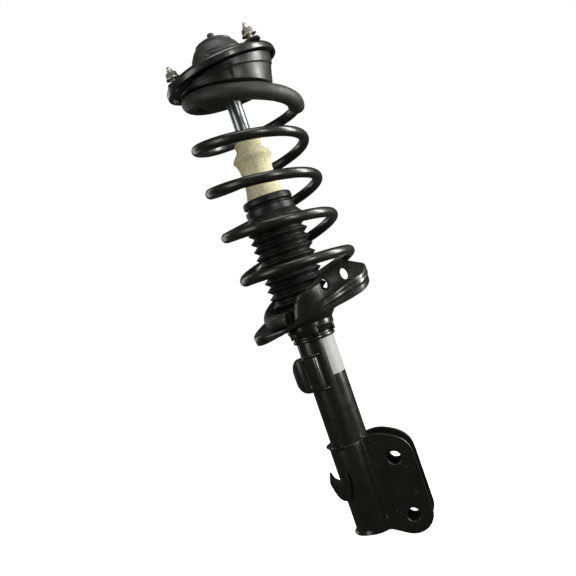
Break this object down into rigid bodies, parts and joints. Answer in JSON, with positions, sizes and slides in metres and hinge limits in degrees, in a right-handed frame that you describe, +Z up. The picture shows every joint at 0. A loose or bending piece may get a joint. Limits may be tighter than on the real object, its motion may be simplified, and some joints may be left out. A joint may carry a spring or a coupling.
{
  "type": "strut assembly",
  "caption": "Coil-over suspension strut with knuckle bracket, dust boot, bump stop and a studded bearing top mount.",
  "frame": {"origin": "centre of the tube's base, on the damper's axis", "axes": "+Z up the damper's axis towards the top mount, +X out along the two ears of the knuckle bracket, +Y across the ears"},
  "size_m": [0.1711, 0.1566, 0.6964],
  "materials": {
    "black_paint": "semi-gloss electro-coat, slight orange peel",
    "spring_coat": "semi-gloss powder coat on spring wire",
    "sleeve_rubber": "matt moulded rubber",
    "bellows_rubber": "satin moulded bellows",
    "bumper_foam": "matt cellular polyurethane, cream",
    "chrome_rod": "polished hard chrome",
    "zinc": "yellow-tinged zinc plating",
    "steel": "machined steel",
    "label_stock": "blank off-white label film",
    "nylon": "glass-filled nylon",
    "cap_rubber": "satin moulded rubber"
  },
  "bodies": {
    "strut_tube": {"strut_tube": "black_paint", "base_cap": "black_paint", "base_valve": "steel", "pressure_tube": "steel", "rod_guide": "steel", "rod_seal": "sleeve_rubber", "gland_cap": "black_paint", "knuckle_bracket": "black_paint", "lower_spring_seat": "black_paint", "seat_support_collar": "black_paint", "hose_bracket": "black_paint", "line_clip": "black_paint", "label": "label_stock", "coil_spring": "spring_coat", "lower_spring_sleeve": "sleeve_rubber", "dust_boot": "bellows_rubber"},
    "bump_stop": {"bump_stop": "bumper_foam"},
    "upper_seat": {"upper_spring_seat": "black_paint", "upper_spring_insulator": "sleeve_rubber", "upper_spring_sleeve": "sleeve_rubber", "bearing_lower_race": "steel", "bearing_ball_cage": "nylon"},
    "top_mount": {"bearing_upper_race": "steel", "mount_plate": "black_paint", "stud_1": "zinc", "flange_nut_1": "zinc", "stud_2": "zinc", "flange_nut_2": "zinc", "stud_3": "zinc", "flange_nut_3": "zinc", "mount_rubber": "sleeve_rubber", "mount_inner_sleeve": "steel", "dust_cap": "cap_rubber", "rod_washer": "zinc", "rod_nut": "zinc", "piston_rod": "chrome_rod", "piston": "steel", "piston_ring": "nylon", "piston_nut": "steel", "rebound_stop": "sleeve_rubber"}
  },
  "joints": [
    {"name": "strut_compression", "type": "slide", "parent": "strut_tube", "child": "upper_seat", "axis": [0, 0, -1], "range_m": [0, 0.12], "stiffness_N_per_m": 22000, "springref_m": -0.06, "deforming": ["coil_spring", "upper_spring_sleeve"]},
    {"name": "bump_stop_travel", "type": "slide", "parent": "strut_tube", "child": "bump_stop", "axis": [0, 0, -1], "range_m": [0, 0.072], "deforming": ["dust_boot"]},
    {"name": "steering_swivel", "type": "hinge", "parent": "upper_seat", "child": "top_mount", "pos_m": [0, 0, 0.64], "axis": [0, 0, 1], "range_deg": [-36, 36]}
  ],
  "couplings": [
    {"joint": "bump_stop_travel", "follows": "strut_compression", "ratio": 0.6}
  ]
}
